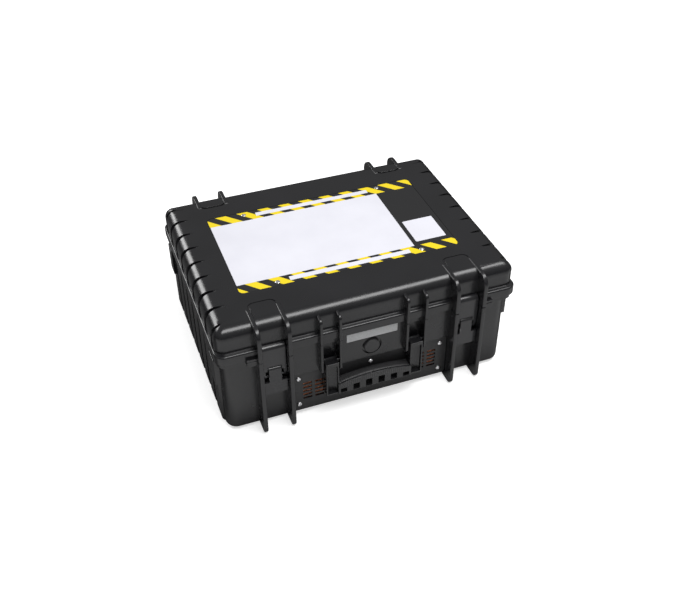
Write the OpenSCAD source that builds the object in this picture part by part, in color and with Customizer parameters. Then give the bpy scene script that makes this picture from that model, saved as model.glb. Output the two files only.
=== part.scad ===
// Hard transport case for batteries: a moulded base and lid on two rear hinges, two draw
// latches, a folding handle, a vented front plate with flame arrestors, and a foam lining.
// Origin: on the ground under the centre of the case. X is the width, -Y the front, +Z up.

/* [Case] */
// Width over the lid's rim
case_w = 510; // [430:5:640]
// Depth over the lid's rim, front to back
case_d = 390; // [320:5:480]
// Height of the parting line above the ground
base_h = 157; // [130:1:200]
// Height of the lid above the parting line
lid_h = 58; // [48:1:80]
// Thickness of the moulded walls
wall = 4; // [3:0.5:5]
// Height of the base's floor above the ground
ground_gap = 4; // [3:0.5:8]
// Gap between lid and base at the parting line
parting_gap = 0.4; // [0.2:0.1:0.8]

/* [Rims and ribs] */
// How far the lid's rim stands out from its side walls
rim_side = 13; // [11:1:18]
// How far the lid's rim stands out from its front and rear walls
rim_front = 8; // [7:1:12]
// Height of the lid's rim
lid_rim_h = 16; // [12:1:22]
// Height of the base's rim
base_rim_h = 10.6; // [8:0.2:14]
// How far the base's rim stays behind the lid's on the sides
base_rim_step = 3; // [1:0.5:5]
// How far the base's rim stays behind the lid's at the front and rear
base_rim_step_front = 5; // [3:0.5:6]
// Distance from one side groove to the next
rib_pitch = 41.5; // [36:0.5:60]
// Width of a side groove
groove_w = 7; // [5:0.5:12]
// How far the side ribs stand out from the groove's floor
rib_out = 10; // [6:0.5:10.5]
// Depth of the step in the base's front wall that holds the vent plate
belt_out = 6; // [4:0.5:8]
// Height of the front belt and small fins, below the parting line
belt_h = 62; // [55:1:70]

/* [Fins] */
// Thickness of a latch or hinge fin
fin_t = 7; // [5:0.5:9]
// Clear space between the two fins of a pair
bay_w = 41; // [34:0.5:50]
// Distance of the fins' faces from the case's centre line, beyond the rim
fin_out = 14; // [12:0.5:18]
// How far the front fins run onto the lid's top, behind its wall
fin_run = 42; // [36:1:60]
// How far the rear fins run onto the lid's top
rear_fin_run = 36; // [30:1:60]
// Half distance between the two latches
latch_x = 165; // [150:1:190]
// Half distance between the two hinges
hinge_x = 168; // [150:1:190]
// Thickness of a small front fin
small_fin_t = 4.5; // [3:0.5:6]
// How far the small fins stand beyond the rim
small_fin_out = 8; // [6:0.5:10]

/* [Hinges and latches] */
// Radius of every steel pin
pin_r = 2.5; // [2:0.1:3]
// Radial running clearance of a moving piece on its pin
pin_fit = 0.06; // [0.02:0.01:0.1]
// Radial clearance of a pin in the fins that hold it
pin_hold = 0.02; // [0.02:0.01:0.1]
// Radius of a base hinge ear
ear_r = 10; // [8:0.5:11]
// Side play of a latch or a hinge knuckle between its fins, each side
side_play = 0.5; // [0.3:0.1:1]
// Height of the latch lever's pin below the parting line
lever_drop = 31; // [28:0.5:34]
// Height of the hook's pin below the lever's pin
hook_drop = 17.5; // [16:0.5:20]
// Length of the lever below its pin
lever_len = 50; // [40:1:60]
// Width of the lever's tongue
tongue_w = 21; // [18:0.5:26]

/* [Handle] */
// Half distance between the handle's arms
arm_x = 73; // [66:1:90]
// Width of an arm
arm_w = 22; // [18:1:26]
// Clear space between the two small fins that hold an arm
arm_bay = 27; // [23:0.5:32]
// Height of the handle's pin below the parting line
handle_drop = 47; // [44:1:52]
// Length of the arms from the pin to the lower edge of the grip
arm_len = 63; // [56:1:68]

/* [Vent plate and valve] */
// Thickness of the sheet metal plate
plate_t = 1.5; // [1:0.1:2]
// Height of the plate
plate_h = 81; // [72:1:83]
// Half distance between the two groups of slots
vent_x = 99.75; // [97:0.25:104]
// Width of one slot
slot_w = 15.5; // [12:0.5:16]
// Distance between the slots' rows
slot_pitch = 8; // [7:0.5:8]
// Half distance between the plate's screws
plate_screw_x = 124.9; // [122:0.1:128]
// Radius of the plate's screws
screw_r = 2; // [1.5:0.1:2.5]
// Thickness of the flame arrestor packs
arrestor_t = 8; // [5:0.5:9]
// Height of the valve's centre below the parting line
valve_drop = 38; // [36:0.5:42]
// Radius of the valve's knob
knob_r = 13.5; // [11:0.5:14]
// Width of the blank badge
badge_w = 87; // [60:1:100]
// Height of the blank badge
badge_h = 17.6; // [12:0.2:18]

/* [Lid panel] */
// Width of the panel on the lid
label_w = 378.6; // [300:0.2:380]
// Depth of the panel on the lid
label_d = 219; // [180:1:220]
// Distance of the panel's centre behind the case's centre
label_y = 4.7; // [0:0.1:6]
// Half distance between the lid's screws across the case
lid_screw_x = 125; // [100:1:150]
// Distance of the lid's screws from the panel's front and rear edges
lid_screw_in = 8.5; // [6:0.5:10]

/* [Lining] */
// Thickness of the fire resistant liner board
liner_t = 3; // [2:0.5:5]
// Space between the liner and the front wall
liner_gap = 11; // [11:0.5:16]
// Thickness of the foam under the battery
foam_floor_t = 20; // [10:1:30]
// Thickness of the foam round the battery
foam_wall_t = 25; // [15:1:40]
// Gap that keeps the foam clear of its neighbours
soft_gap = 0.3; // [0.2:0.1:1]

/* [Hidden] */
$fn = 64;
eps = 0.01;

// Case outline
rim_x = case_w / 2;
rim_y = case_d / 2;
top_z = base_h + lid_h;
base_top = base_h - parting_gap;
lid_x = rim_x - rim_side;
lid_y = rim_y - rim_front;
base_x = lid_x - 1;
base_rim_x = rim_x - base_rim_step;
base_rim_y = rim_y - base_rim_step_front;
base_y = base_rim_y - belt_out;
in_x = base_x - wall;
in_y = base_y - wall;
corner_r = 26;
rim_corner_r = 16;
lid_edge_r = 12;
lid_side_r = 14;
rib_edge_r = 20;
base_edge_r = 8;
base_side_r = 12;
base_rib_r = 20;
end_x = base_x + 5.5;
end_corner_r = 19;
rim_edge_r = 5;
belt_z = base_h - belt_h;
groove_n = floor((lid_y - 20) / rib_pitch);

// Fins
fin_y = rim_y + fin_out;
small_fin_y = rim_y + small_fin_out;
fin_step = (bay_w + fin_t) / 2;
fin_rise = 1.5;
fin_shoulder_r = 20;
fin_foot_r = 10;
fin_taper = 5;
fin_taper_z = 70;
fin_in_y = base_y - 12;
small_step = (arm_bay + small_fin_t) / 2;

// Seal: a groove in the lid's rim over a tongue on the base's rim
groove_in = 1.8;
seal_groove_w = 5;
seal_groove_h = 4;
seal_play = 0.2;
tongue_in = 3.3;
tongue_t = 2;
tongue_h = 2;
seal_t = seal_groove_h - (tongue_h - parting_gap) - soft_gap - seal_play;

// Finger tabs on the rims, outside the latch fins
tab_out = 5.5;
tab_w = 20;
lid_tab_h = 3.5;
base_tab_h = 9.6;

// Hinge
hinge_y = fin_y - ear_r;
knuckle_r = ear_r - 1.5;
hinge_clear = 0.6;
lid_fin_lift = ear_r + 4;

// Latch
lever_w = bay_w - 2 * side_play;
lever_y = rim_y + 3;
lever_t = 3.5;
lever_pin_y = rim_y - 5;
lever_z = base_h - lever_drop;
lever_hub_r = 4.6;
lever_low = lever_z - lever_len;
lever_shoulder = lever_z - hook_drop - 7;
lever_flange_t = 3;
hook_pin_y = rim_y - 5.5;
hook_z = lever_z - hook_drop;
hook_pin_r = 1.8;
hook_hub_r = 3.6;
hook_y = rim_y + 1;
hook_t = 3;
hook_low = base_h - 33.5;
hook_top = base_h + 10.4;
hook_roof_t = 4.6;
hook_nose_r = 4.4;
hook_gap = 0.8;
hook_notch_top = lever_z + lever_hub_r + 1.4;
hook_leg_t = 1.9;
hook_leg_w = 5;
hook_leg_back = 1.4;
hook_roof_rise = 7;
catch_y = rim_y - 3;
catch_top = hook_top - hook_roof_t - 0.3;

// Handle
handle_z = base_h - handle_drop;
handle_pin_y = rim_y - 2;
arm_hub_r = 7;
arm_top = 4.5;
arm_front = small_fin_y + 3;
arm_cheek_t = 2.5;
arm_back = base_y + plate_t + 2.5;
grip_low = handle_z - arm_len;
grip_front = fin_y - 0.5;
grip_face_t = 3.5;
grip_half = arm_x - arm_w / 2;
window_w = 11;
window_pitch = 22;
window_n = 6;
window_h = 14.5;
window_drop = 6.5;
grip_end_h = 22;
grip_mid_h = 29;
grip_back = arm_back;

// Front plate, arrestors and valve
gasket_t = 0.5;
plate_y = base_y + gasket_t;
plate_half = latch_x - fin_step - fin_t / 2 - 0.5;
plate_top = belt_z - 2;
plate_low = plate_top - plate_h;
plate_corner_r = 4;
vent_z = plate_top - 41;
slot_h = 4.4;
slot_gap = 5;
slot_n = 5;
screw_top_z = plate_top - 11.6;
screw_low_z = plate_low + 12.8;
plate_screws_at = [
    [-plate_screw_x, screw_top_z], [plate_screw_x, screw_top_z], [0, screw_top_z],
    [-plate_screw_x, screw_low_z], [plate_screw_x, screw_low_z]
];
screw_hole_r = screw_r + 0.3;
screw_head_r = 2 * screw_r;
screw_head_h = 1.3 * screw_r;
nut_t = 1.6 * screw_r;
window_half_w = (2 * slot_w + slot_gap) / 2 + 1;
window_half_h = ((slot_n - 1) * slot_pitch + slot_h) / 2 + 2;
frame_edge = 6;
frame_t = 2;
arrestor_back = 2;
valve_z = base_h - valve_drop;
dimple_r = knob_r + 3.5;
dimple_d = 3;
valve_flange_r = knob_r + 0.6;
knob_t = 4;
valve_shank_r = 10;
valve_hole_r = valve_shank_r + 0.2;
valve_nut_t = 4;
badge_t = 1.2;
badge_z = base_h - 9.6;

// Lid panel
label_recess = 1;
label_t = 0.7;
label_r = 8;
front_band = 21;
rear_band = 26;
strip_d = 10;
strip_half = 84;
print_t = 0.12;
lid_screw_ys = [label_y - label_d / 2 + lid_screw_in, label_y + label_d / 2 - lid_screw_in];
panel_right = label_w / 2 - 72;

// Lining
floor_z = ground_gap + wall;
liner_x = in_x - 0.5;
liner_rear = in_y - 0.5;
liner_front = in_y - liner_gap;
liner_top = base_h - 7;
liner_r = corner_r - wall;

// ---------------------------------------------------------------- shapes

module round_rect(w, d, r) {
    square([w - 2 * r, d], center = true);
    square([w, d - 2 * r], center = true);
    for (sx = [-1, 1], sy = [-1, 1])
        translate([sx * (w / 2 - r), sy * (d / 2 - r)]) circle(r);
}

// A strip from z0 up to z1 whose two upper corners are round
module arch(half, z0, z1, r) {
    translate([-half + r, z0]) square([2 * (half - r), z1 - z0]);
    translate([-half, z0]) square([2 * half, z1 - z0 - r]);
    for (s = [-1, 1])
        translate([s * (half - r), z1 - r]) circle(r);
}

module along_x(t) {
    rotate([90, 0, 90]) linear_extrude(t, center = true) children();
}

module along_y(t) {
    rotate([90, 0, 0]) linear_extrude(t, center = true) children();
}

// A cylinder along Y from y0 to y1
module rod_y(r, y0, y1) {
    translate([0, y0, 0]) rotate([-90, 0, 0]) cylinder(r = r, h = y1 - y0);
}

module rod_x(r, len) {
    rotate([0, 90, 0]) cylinder(r = r, h = len, center = true);
}

// A block with round upright corners, round upper side edges and round front and rear edges
module round_top_box(hx, hy, z0, z1, r, side_r, front_r) {
    intersection() {
        translate([0, 0, z0]) linear_extrude(z1 - z0) round_rect(2 * hx, 2 * hy, r);
        along_y(2 * hy + 2) arch(hx, z0, z1, side_r);
        along_x(2 * hx + 2) arch(hy, z0, z1, front_r);
    }
}

module round_bottom_box(hx, hy, z0, z1, r, side_r, front_r) {
    mirror([0, 0, 1]) round_top_box(hx, hy, -z1, -z0, r, side_r, front_r);
}

module ring(hx, hy, w, r, z0, h) {
    translate([0, 0, z0]) linear_extrude(h) difference() {
        round_rect(2 * (hx + w), 2 * (hy + w), r + w);
        round_rect(2 * hx, 2 * hy, r);
    }
}

// Places a child at +x and its mirror image at -x
module both_sides() {
    children();
    mirror([1, 0, 0]) children();
}

module front() {
    mirror([0, 1, 0]) children();
}

module pair_at(x) {
    for (s = [-1, 1])
        translate([x + s * fin_step, 0, 0]) children();
}

// The rib bands of a side wall, between its grooves
module rib_bands() {
    band = rib_pitch - groove_w;
    for (k = [-groove_n : groove_n - 1])
        translate([-rim_x, (k + 0.5) * rib_pitch - band / 2, 0]) cube([case_w, band, top_z + 5]);
}

// The ends of a side wall, beyond the given distance from the middle
module end_bands(start, half_d) {
    for (s = [-1, 1])
        translate([-rim_x, s > 0 ? start : -half_d, 0])
            cube([case_w, half_d - start, top_z + 5]);
}

// ---------------------------------------------------------------- fins

// Side view of a lid fin: from the lid's top over its edge and down to z_low
module lid_fin_view(z_low, run) {
    start = lid_y - run;
    high = top_z + fin_rise;
    r = fin_shoulder_r;
    translate([start, z_low]) square([fin_y - r - start, high - z_low]);
    translate([start, z_low]) square([fin_y - start, high - r - z_low]);
    translate([fin_y - r, high - r]) circle(r);
}

// Side view of a base fin: straight at the top, tapered and round at its foot
module base_fin_view() {
    foot = fin_y - fin_taper - fin_foot_r;
    translate([fin_in_y, 0]) square([foot - fin_in_y, base_top]);
    translate([foot, fin_foot_r]) circle(fin_foot_r);
    polygon([
        [fin_in_y, fin_foot_r], [foot + fin_foot_r, fin_foot_r],
        [fin_y, fin_taper_z], [fin_y, base_top], [fin_in_y, base_top]
    ]);
}

module small_lid_fin_view() {
    peak = base_h + 0.83 * lid_h;
    r = 8;
    translate([lid_y - 2, base_h]) square([small_fin_y - lid_y + 2, peak - r - base_h]);
    translate([lid_y - 2, base_h]) square([small_fin_y - r - lid_y + 2, peak - base_h]);
    translate([small_fin_y - r, peak - r]) circle(r);
}

module small_base_fin_view() {
    r = 5;
    translate([base_y - 2, belt_z]) square([small_fin_y - r - base_y + 2, base_top - belt_z]);
    translate([base_y - 2, belt_z + r])
        square([small_fin_y - base_y + 2, base_top - belt_z - r]);
    translate([small_fin_y - r, belt_z + r]) circle(r);
}

module small_fins(t) {
    both_sides()
        for (s = [-1, 1])
            translate([arm_x + s * small_step, 0, 0]) front() along_x(t) children();
}

// ---------------------------------------------------------------- shells

module lid_body() {
    round_top_box(lid_x, lid_y, base_h, top_z, corner_r, lid_side_r, lid_edge_r);
    intersection() {
        round_top_box(lid_x + rib_out, lid_y, base_h, top_z, corner_r, rib_edge_r, lid_edge_r);
        union() {
            rib_bands();
            end_bands(groove_n * rib_pitch + groove_w / 2, lid_y);
        }
    }
    round_top_box(rim_x, rim_y, base_h, base_h + lid_rim_h, rim_corner_r, rim_edge_r, rim_edge_r);
}

// A pad on the lid's top between two fins, from a distance behind the wall to its edge
module top_pad(x, run) {
    reach = run - lid_edge_r + 3;
    translate([x, lid_y - run + reach / 2, top_z - 1]) linear_extrude(2.3)
        round_rect(bay_w - 1, reach, 7);
}

module lid_fins() {
    both_sides() {
        front() pair_at(latch_x) along_x(fin_t) lid_fin_view(base_h, fin_run);
        pair_at(hinge_x) along_x(fin_t) lid_fin_view(base_h + lid_fin_lift, rear_fin_run);
        front() top_pad(latch_x, fin_run + 10);
        top_pad(hinge_x, rear_fin_run);
    }
    small_fins(small_fin_t) small_lid_fin_view();
}

module lid_knuckles() {
    both_sides() translate([hinge_x, 0, 0]) {
        translate([0, hinge_y, base_h]) rod_x(knuckle_r, lever_w);
        translate([-lever_w / 2, lid_y - 2, base_h])
            cube([lever_w, hinge_y + 2 - lid_y, knuckle_r]);
    }
}

module lid_cavity() {
    step_h = seal_groove_h + 4;
    translate([0, 0, base_h - 1]) linear_extrude(step_h + 1)
        round_rect(2 * in_x, 2 * in_y, corner_r - wall);
    round_top_box(lid_x - wall, lid_y - wall, base_h + step_h - eps, top_z - wall,
        corner_r - wall, lid_side_r - wall, lid_edge_r - wall);
}

// Space in front of the lid between two latch fins, above and in front of the catch
module latch_bay() {
    translate([latch_x, 0, 0]) {
        translate([-bay_w / 2, -fin_y - 1, base_h - 1])
            cube([bay_w, fin_y + 1 - catch_y, top_z]);
        translate([-bay_w / 2, -fin_y - 1, catch_top])
            cube([bay_w, fin_y + 1 - lid_y, hook_top + 8 - catch_top]);
    }
}

module screw_holes(r) {
    for (x = [-lid_screw_x, lid_screw_x], y = lid_screw_ys)
        translate([x, y, top_z - 2 * wall]) cylinder(r = r, h = 3 * wall);
}

module lid_shell() {
    color([0.055, 0.055, 0.06]) difference() {
        union() {
            difference() {
                lid_body();
                both_sides() latch_bay();
            }
            lid_fins();
            lid_knuckles();
            both_sides() rim_tab(base_h, base_h + lid_tab_h);
        }
        lid_cavity();
        ring(in_x + groove_in, in_y + groove_in, seal_groove_w, corner_r - wall + groove_in,
            base_h - 1, seal_groove_h + 1);
        translate([0, label_y, top_z - label_recess]) linear_extrude(label_recess + 1)
            round_rect(label_w + 1, label_d + 1, label_r + 0.5);
        screw_holes(screw_hole_r);
        both_sides() {
            pair_at(hinge_x) translate([0, hinge_y, base_h])
                rod_x(ear_r + hinge_clear, fin_t + 2 * side_play);
            translate([hinge_x, hinge_y, base_h]) rod_x(pin_r + pin_fit, bay_w + 20);
        }
    }
}

module base_body() {
    round_bottom_box(base_x, base_y, ground_gap, base_top, corner_r, base_side_r, base_edge_r);
    intersection() {
        round_bottom_box(base_x + rib_out, base_y, ground_gap, base_top, corner_r, base_rib_r,
            base_edge_r);
        rib_bands();
    }
    intersection() {
        round_bottom_box(end_x, base_y, ground_gap, base_top, end_corner_r, base_edge_r,
            base_edge_r);
        end_bands(groove_n * rib_pitch - groove_w / 2, base_y);
    }
    translate([0, 0, base_top - base_rim_h]) linear_extrude(base_rim_h)
        round_rect(2 * base_rim_x, 2 * base_rim_y, rim_corner_r - 2);
    ring(in_x + tongue_in, in_y + tongue_in, tongue_t, corner_r - wall + tongue_in,
        base_top - 1, tongue_h + 1);
}

// Raised belt over the vent plate, open where the handle's arms hang
module front_belt() {
    inner = arm_x - small_step;
    outer = arm_x + small_step;
    edge = latch_x - fin_step;
    for (span = [[-edge, -outer], [-inner, inner], [outer, edge]])
        translate([span[0], -base_rim_y, belt_z])
            cube([span[1] - span[0], belt_out + 1, base_top - base_rim_h - belt_z + 1]);
}

// Blocks on the outermost ribs, hanging from the base's rim
module corner_blocks() {
    block_d = 27;
    block_w = 14;
    for (sx = [-1, 1], sy = [-1, 1])
        translate([sx * (rim_x - block_w / 2), sy * (groove_n - 0.3) * rib_pitch, belt_z])
            translate([-block_w / 2, -block_d / 2, 0])
                cube([block_w, block_d, base_top - base_rim_h - belt_z + 1]);
}

// Finger tab beside the outer latch fin, half on the base's rim and half on the lid's
module rim_tab(z0, z1) {
    translate([latch_x + fin_step, -rim_y - tab_out, z0]) cube([tab_w, tab_out + 12, z1 - z0]);
}

module feet() {
    for (sx = [-1, 1], sy = [-1, 1])
        translate([sx * (base_x - 30), sy * (base_y - 60), 0]) linear_extrude(ground_gap + 1)
            round_rect(14, 80, 6);
}

module base_fins() {
    both_sides() {
        front() pair_at(latch_x) along_x(fin_t) base_fin_view();
        pair_at(hinge_x) along_x(fin_t) {
            base_fin_view();
            translate([hinge_y, base_h]) circle(ear_r);
        }
    }
    small_fins(small_fin_t) small_base_fin_view();
}

module base_cavity() {
    translate([0, 0, floor_z]) linear_extrude(base_top) round_rect(2 * in_x, 2 * in_y, liner_r);
}

module vent_windows(grow) {
    for (s = [-1, 1])
        translate([s * vent_x, -base_y, vent_z])
            cube([2 * (window_half_w + grow), 6 * wall, 2 * (window_half_h + grow)],
                center = true);
}

module base_shell() {
    color([0.05, 0.05, 0.055]) difference() {
        union() {
            base_body();
            front_belt();
            corner_blocks();
            feet();
            base_fins();
            both_sides() rim_tab(base_top - base_tab_h, base_top);
        }
        base_cavity();
        vent_windows(0);
        for (p = plate_screws_at)
            translate([p[0], 0, p[1]]) rod_y(screw_hole_r, -base_y - 1, -in_y + 1);
        for (s = [-1, 1], fx = [-1, 1], fz = [-1, 1])
            translate([s * vent_x + fx * frame_hole_x, 0, vent_z + fz * frame_hole_z])
                rod_y(1, -in_y - 2.5, -in_y + 1);
        translate([0, 0, valve_z]) {
            rod_y(valve_hole_r, -base_rim_y - 1, -in_y + 1);
            rod_y(dimple_r, -base_rim_y - 1, -base_rim_y + dimple_d);
        }
        both_sides() {
            translate([latch_x, -lever_pin_y, lever_z]) rod_x(pin_r + pin_hold, bay_w + 20);
            translate([hinge_x, hinge_y, base_h]) rod_x(pin_r + pin_hold, bay_w + 20);
            translate([arm_x, -handle_pin_y, handle_z]) rod_x(pin_r + pin_hold, arm_bay + 12);
        }
    }
}

module lid_seal() {
    color([0.12, 0.12, 0.13])
        ring(in_x + groove_in + seal_play, in_y + groove_in + seal_play,
            seal_groove_w - 2 * seal_play, corner_r - wall + groove_in + seal_play,
            base_h + seal_groove_h - seal_t, seal_t);
}

// ---------------------------------------------------------------- pins

module hinge_pins() {
    color([0.7, 0.7, 0.72]) both_sides()
        translate([hinge_x, hinge_y, base_h]) rod_x(pin_r, bay_w + 2 * fin_t - 1);
}

module latch_pivot_pins() {
    color([0.7, 0.7, 0.72]) both_sides()
        translate([latch_x, -lever_pin_y, lever_z]) rod_x(pin_r, bay_w + 2 * fin_t - 1);
}

module handle_pins() {
    color([0.7, 0.7, 0.72]) both_sides()
        translate([arm_x, -handle_pin_y, handle_z]) rod_x(pin_r, arm_bay + 2 * small_fin_t - 1);
}

module hook_pin() {
    color([0.7, 0.7, 0.72]) translate([latch_x, -hook_pin_y, hook_z])
        rod_x(hook_pin_r, lever_w - 1);
}

// ---------------------------------------------------------------- latches

// Side view of the lever's tongue, from its nose round the pin down to the hook's pin
module tongue_view() {
    translate([-lever_pin_y, lever_z]) circle(lever_hub_r);
    translate([-lever_y + lever_hub_r, lever_z]) circle(lever_hub_r);
    translate([-lever_y + lever_hub_r, lever_z - lever_hub_r])
        square([lever_y - lever_hub_r - lever_pin_y, 2 * lever_hub_r]);
    translate([-lever_y, lever_shoulder - 1]) square([lever_t, lever_z - lever_shoulder + 1]);
    translate([-hook_pin_y, hook_z]) circle(hook_hub_r);
    translate([-lever_y + 1, hook_z - hook_hub_r])
        square([lever_y - 1 - hook_pin_y, 2 * hook_hub_r]);
}

// Wide finger plate below the tongue, with a lip along its lower edge
module finger_view() {
    translate([-lever_y, lever_low + lever_t / 2])
        square([lever_t, lever_shoulder - lever_low - lever_t / 2]);
    translate([-lever_y + lever_t / 2, lever_low + lever_t / 2]) circle(lever_t / 2);
}

module flange_view() {
    translate([-lever_y + 1, lever_low + 8])
        square([lever_y - 1 - hook_pin_y, lever_shoulder - lever_low - 12]);
}

module latch_lever() {
    color([0.06, 0.06, 0.065]) translate([latch_x, 0, 0]) difference() {
        union() {
            along_x(lever_w) finger_view();
            along_x(tongue_w) tongue_view();
            for (s = [-1, 1])
                translate([s * (lever_w - lever_flange_t) / 2, 0, 0])
                    along_x(lever_flange_t) flange_view();
        }
        translate([0, -lever_pin_y, lever_z]) rod_x(pin_r + pin_fit, bay_w + 2);
        translate([0, -hook_pin_y, hook_z]) rod_x(hook_pin_r + pin_hold, bay_w);
    }
}

// Side view of the hook plate with its round nose and its roof, which climbs to the lid's wall
module hook_view() {
    r = hook_nose_r;
    depth = hook_y - lid_y - 0.5;
    back = -hook_y + depth;
    translate([-hook_y, hook_low]) square([hook_t, hook_top - r - hook_low]);
    translate([-hook_y + r - eps, hook_top - hook_roof_t]) square([depth - r, hook_roof_t]);
    polygon([
        [-hook_y + r, hook_top - r], [-hook_y + 0.24 * r, hook_top - 0.35 * r],
        [back, hook_top + hook_roof_rise], [back, hook_top - r]
    ]);
    translate([-hook_y, hook_top - hook_roof_t]) square([r, hook_roof_t - r]);
    intersection() {
        translate([-hook_y + r, hook_top - r]) circle(r);
        translate([-hook_y, hook_top - r]) square(r);
    }
}

// Side view of a leg from the plate's lower edge in to the hook's pin
module hook_leg_view() {
    y0 = -hook_y + hook_leg_back;
    translate([y0, hook_z + 6]) square([hook_leg_t, hook_low + 1 - hook_z - 6]);
    translate([-hook_pin_y, hook_z]) circle(hook_hub_r);
    polygon([
        [y0, hook_z + 8], [y0 + hook_leg_t, hook_z + 8],
        [-hook_pin_y + 2.4, hook_z + 2.6], [-hook_pin_y - 2, hook_z - 2.9]
    ]);
}

module latch_hook() {
    notch_half = tongue_w / 2 + hook_gap;
    leg_x = lever_w / 2 - 0.3 - hook_leg_w / 2;
    color([0.06, 0.06, 0.065]) translate([latch_x, 0, 0]) difference() {
        union() {
            difference() {
                along_x(lever_w) hook_view();
                translate([-notch_half, -hook_y - 1, hook_low - 1])
                    cube([2 * notch_half, hook_t + 2, hook_notch_top - hook_low + 1]);
            }
            for (s = [-1, 1])
                translate([s * leg_x, 0, 0]) along_x(hook_leg_w) hook_leg_view();
        }
        translate([0, -hook_pin_y, hook_z]) rod_x(hook_pin_r + pin_fit, bay_w);
    }
}

module latch_lever_right() { latch_lever(); }
module latch_lever_left() { mirror([1, 0, 0]) latch_lever(); }
module latch_hook_right() { latch_hook(); }
module latch_hook_left() { mirror([1, 0, 0]) latch_hook(); }
module hook_pin_right() { hook_pin(); }
module hook_pin_left() { mirror([1, 0, 0]) hook_pin(); }

// ---------------------------------------------------------------- handle

module arm() {
    translate([arm_x, 0, 0]) {
        difference() {
            union() {
                translate([0, -handle_pin_y, handle_z]) rod_x(arm_hub_r, arm_w);
                translate([-arm_w / 2, -arm_front, grip_low])
                    cube([arm_w, arm_front - arm_back, arm_len + arm_top]);
            }
            translate([0, -arm_front - 9, grip_low + 3])
                linear_extrude(arm_len - 5)
                    intersection() {
                        circle(r = arm_w / 2 + 6);
                        square([arm_w - 2 * arm_cheek_t, 4 * arm_w], center = true);
                    }
            translate([0, -handle_pin_y, handle_z]) rod_x(pin_r + pin_fit, arm_w + 2);
        }
    }
}

// The grip's front face, which rises in a flat arc to its middle
module grip_outline(half, low, end_h, mid_h) {
    rise = mid_h - end_h;
    r = (grip_half * grip_half + rise * rise) / (2 * rise);
    intersection() {
        translate([-half, low]) square([2 * half, mid_h]);
        translate([0, low + mid_h - r]) circle(r, $fn = 256);
    }
}

module grip_windows() {
    last = (window_n - 1) / 2;
    for (i = [0 : window_n - 1]) {
        out = (i - last) / last;
        translate([(i - last) * window_pitch - window_w / 2, grip_low + 3])
            square([window_w, window_h - window_drop * out * out]);
    }
}

module handle_frame() {
    color([0.055, 0.055, 0.06]) {
        both_sides() arm();
        translate([0, -grip_front + grip_face_t / 2, 0]) along_y(grip_face_t) difference() {
            grip_outline(grip_half + 2, grip_low, grip_end_h, grip_mid_h);
            grip_windows();
        }
        translate([-grip_half - 1, -grip_front, grip_low])
            cube([2 * grip_half + 2, grip_front - grip_back, 3]);
    }
}

module handle_grip() {
    back = grip_back;
    front_y = grip_front - grip_face_t - 0.05;
    mid_y = (front_y + back) / 2;
    color([0.035, 0.035, 0.037]) intersection() {
        translate([0, -mid_y, 0]) along_y(front_y - back)
            grip_outline(grip_half, grip_low + window_h + 2, grip_end_h - window_h - 2,
                grip_mid_h - window_h - 2);
        along_x(2 * grip_half - 0.6) {
            half = (front_y - back) / 2;
            translate([-mid_y, 0]) arch(half, grip_low, grip_low + grip_mid_h, half * 0.8);
        }
    }
}

// ---------------------------------------------------------------- front plate

module plate_outline(half, low, high, r) {
    translate([0, (low + high) / 2]) round_rect(2 * half, high - low, r);
}

module vent_slots() {
    for (s = [-1, 1], c = [-1, 1], i = [0 : slot_n - 1])
        translate([
            s * vent_x + c * (slot_w + slot_gap) / 2,
            vent_z + (i - (slot_n - 1) / 2) * slot_pitch
        ]) round_rect(slot_w, slot_h, 0.8);
}

module vent_plate() {
    color([0.07, 0.07, 0.075])
        translate([0, -plate_y - plate_t / 2, 0]) along_y(plate_t) difference() {
            plate_outline(plate_half, plate_low, plate_top, plate_corner_r);
            vent_slots();
            for (p = plate_screws_at)
                translate(p) circle(screw_hole_r);
        }
}

module plate_gasket() {
    color([0.1, 0.1, 0.1])
        translate([0, -base_y - gasket_t / 2, 0]) along_y(gasket_t) difference() {
            plate_outline(plate_half - 1, plate_low + 1, plate_top - 1, plate_corner_r - 1);
            for (s = [-1, 1])
                translate([s * vent_x, vent_z])
                    square([2 * window_half_w, 2 * window_half_h], center = true);
            for (p = plate_screws_at)
                translate(p) circle(screw_hole_r);
        }
}

// Pan head screw along Y, head at the front
module plate_screw() {
    head_y = -plate_y - plate_t;
    rod_y(screw_r, head_y - 0.5, -in_y + nut_t + 1.5);
    difference() {
        rotate([-90, 0, 0]) translate([0, 0, head_y - screw_head_h])
            cylinder(r1 = screw_head_r * 0.72, r2 = screw_head_r, h = screw_head_h);
        for (a = [0, 90])
            rotate([0, a, 0]) translate([0, head_y - screw_head_h, 0])
                cube([screw_head_r * 1.1, screw_head_h, 0.7], center = true);
    }
}

module plate_screws() {
    color([0.75, 0.75, 0.76]) for (p = plate_screws_at)
        translate([p[0], 0, p[1]]) plate_screw();
}

module hex_nut(bore, flat, t) {
    difference() {
        cylinder(r = flat / 2 / cos(30), h = t, $fn = 6);
        translate([0, 0, -1]) cylinder(r = bore, h = t + 2);
    }
}

module plate_nuts() {
    color([0.7, 0.7, 0.71]) for (p = plate_screws_at)
        translate([p[0], -in_y, p[1]]) rotate([-90, 0, 0])
            hex_nut(screw_r + 0.02, 3.6 * screw_r, nut_t);
}

// Copper mesh pack that fills a vent window behind the plate
module arrestor() {
    play = 0.3;
    color([0.5, 0.25, 0.14]) translate([vent_x, -base_y + arrestor_back + arrestor_t / 2, vent_z])
        cube([2 * (window_half_w - play), arrestor_t, 2 * (window_half_h - play)],
            center = true);
}

module arrestor_right() { arrestor(); }
module arrestor_left() { mirror([1, 0, 0]) arrestor(); }

frame_hole_x = window_half_w - 5;
frame_hole_z = window_half_h + frame_edge / 2;
frame_y = max(-in_y, -base_y + arrestor_back + arrestor_t);

module frame_holes(r) {
    for (fx = [-1, 1], fz = [-1, 1])
        translate([fx * frame_hole_x, fz * frame_hole_z]) circle(r);
}

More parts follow.
